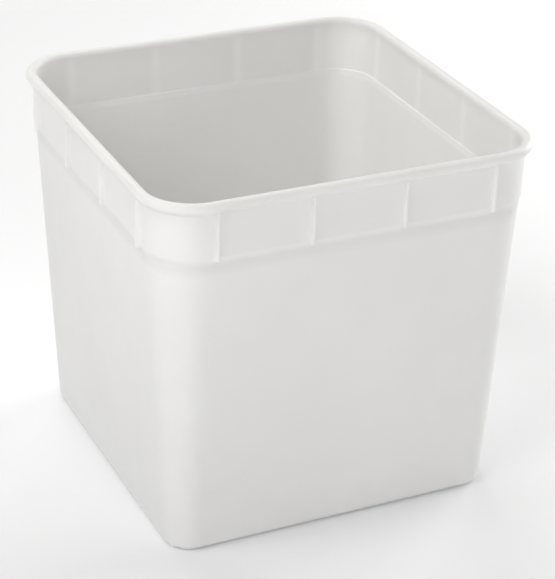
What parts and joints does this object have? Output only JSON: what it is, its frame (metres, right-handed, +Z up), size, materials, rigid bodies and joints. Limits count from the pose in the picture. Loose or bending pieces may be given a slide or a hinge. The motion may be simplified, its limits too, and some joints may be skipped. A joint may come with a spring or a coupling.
{
  "type": "mixing tub",
  "caption": "Square tapered plastic mixing tub with rounded corners, a stepped ribbed collar and a rolled rim bead, open at the top.",
  "frame": {"origin": "middle of the surface the tub stands on", "axes": "+Z up through the open mouth, -Y towards the front wall, +X to the right"},
  "size_m": [0.24, 0.24, 0.228],
  "materials": {
    "tub_plastic": "satin off-white injection-moulded polyethylene, slightly translucent"
  },
  "bodies": {
    "root": {"base_floor": "tub_plastic", "base_heel": "tub_plastic", "wall_back": "tub_plastic", "wall_left": "tub_plastic", "wall_front": "tub_plastic", "wall_right": "tub_plastic", "corner_back_right": "tub_plastic", "corner_back_left": "tub_plastic", "corner_front_left": "tub_plastic", "corner_front_right": "tub_plastic", "shoulder_step": "tub_plastic", "collar_band": "tub_plastic", "rim_bead": "tub_plastic", "rib_back_1": "tub_plastic", "rib_back_2": "tub_plastic", "rib_back_3": "tub_plastic", "rib_back_4": "tub_plastic", "rib_left_1": "tub_plastic", "rib_left_2": "tub_plastic", "rib_left_3": "tub_plastic", "rib_left_4": "tub_plastic", "rib_front_1": "tub_plastic", "rib_front_2": "tub_plastic", "rib_front_3": "tub_plastic", "rib_front_4": "tub_plastic", "rib_right_1": "tub_plastic", "rib_right_2": "tub_plastic", "rib_right_3": "tub_plastic", "rib_right_4": "tub_plastic"}
  },
  "joints": []
}
